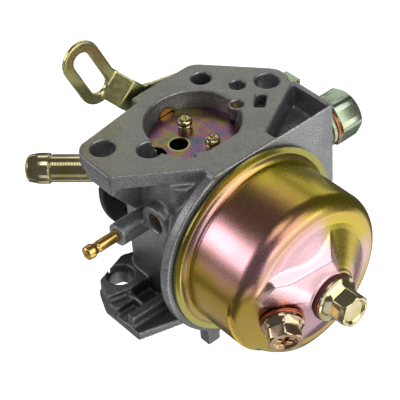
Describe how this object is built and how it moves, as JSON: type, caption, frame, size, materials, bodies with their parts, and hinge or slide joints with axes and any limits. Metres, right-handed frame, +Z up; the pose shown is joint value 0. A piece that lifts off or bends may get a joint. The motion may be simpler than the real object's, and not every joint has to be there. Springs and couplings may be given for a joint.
{
  "type": "carburetor",
  "caption": "Float-bowl carburetor with a die-cast body, side float bowl, choke and throttle butterflies, fuel inlet tube and vent nipple.",
  "frame": {"origin": "centre of the bore on the engine-side flange face", "axes": "+Z runs up the bore to the air intake face, +X points down the float bowl, -X is the lever side, -Y is the vent nipple side"},
  "size_m": [0.1084, 0.0957, 0.0914],
  "materials": {
    "casting": "as-cast, satin",
    "zinc_bowl": "yellow passivated zinc, glossy",
    "zinc_bolts": "yellow passivated zinc, glossy",
    "zinc_pale": "pale green passivated zinc",
    "lever_steel": "olive yellow passivated zinc",
    "plate_steel": "iridescent passivated zinc",
    "steel": "plain",
    "brass": "turned",
    "rubber": "matt",
    "fibre": "sealing washer",
    "copper": "soft copper",
    "black_plastic": "moulded"
  },
  "bodies": {
    "body": {"carb_body": "casting", "float_bowl": "zinc_bowl", "bowl_gasket": "rubber", "bowl_bolt": "zinc_bolts", "bowl_bolt_washer": "fibre", "drain_bolt": "zinc_bolts", "drain_washer": "copper", "main_jet": "brass", "emulsion_tube": "brass", "float_pin": "steel", "needle_seat": "brass", "choke_seal": "rubber", "throttle_seal": "rubber", "pilot_jet": "brass", "mixture_spring": "steel", "idle_spring": "steel", "fuel_inlet": "zinc_bolts", "vent_nipple": "brass", "hex_plug": "zinc_pale", "plug_washer": "copper", "plug_bracket": "zinc_pale", "passage_plugs": "brass"},
    "choke": {"choke_shaft": "brass", "choke_plate": "plate_steel", "choke_screws": "zinc_bolts", "choke_screw_washers": "zinc_bolts", "choke_lever": "lever_steel"},
    "throttle": {"throttle_shaft": "steel", "throttle_plate": "brass", "throttle_screws": "zinc_bolts", "throttle_lever": "black_plastic", "throttle_lever_nut": "steel"},
    "float_arm": {"float": "black_plastic"},
    "needle": {"needle_valve": "brass"},
    "mixture": {"mixture_screw": "brass"},
    "idle": {"idle_screw": "zinc_bolts"}
  },
  "joints": [
    {"name": "choke_turn", "type": "hinge", "parent": "body", "child": "choke", "pos_m": [0, 0.0007, 0.055], "axis": [-1, 0, 0], "range_deg": [0, 75]},
    {"name": "throttle_turn", "type": "hinge", "parent": "body", "child": "throttle", "pos_m": [0, 0, 0.0125], "axis": [-1, 0, 0], "range_deg": [0, 75]},
    {"name": "float_swing", "type": "hinge", "parent": "body", "child": "float_arm", "pos_m": [0.028, 0, 0.05], "axis": [0, -1, 0], "range_deg": [0, 8]},
    {"name": "needle_slide", "type": "slide", "parent": "body", "child": "needle", "axis": [1, 0, 0], "range_m": [0, 0.001]},
    {"name": "mixture_turn", "type": "hinge", "parent": "body", "child": "mixture", "pos_m": [0.01, -0.02, 0.0418], "axis": [0, -1, 0], "range_deg": [-360, 360]},
    {"name": "idle_turn", "type": "hinge", "parent": "body", "child": "idle", "pos_m": [-0.0205, 0.012, 0.03], "axis": [0, 0, 1], "range_deg": [-360, 360]}
  ],
  "couplings": [
    {"joint": "needle_slide", "follows": "float_swing", "m_per_rad": 0.0065}
  ]
}
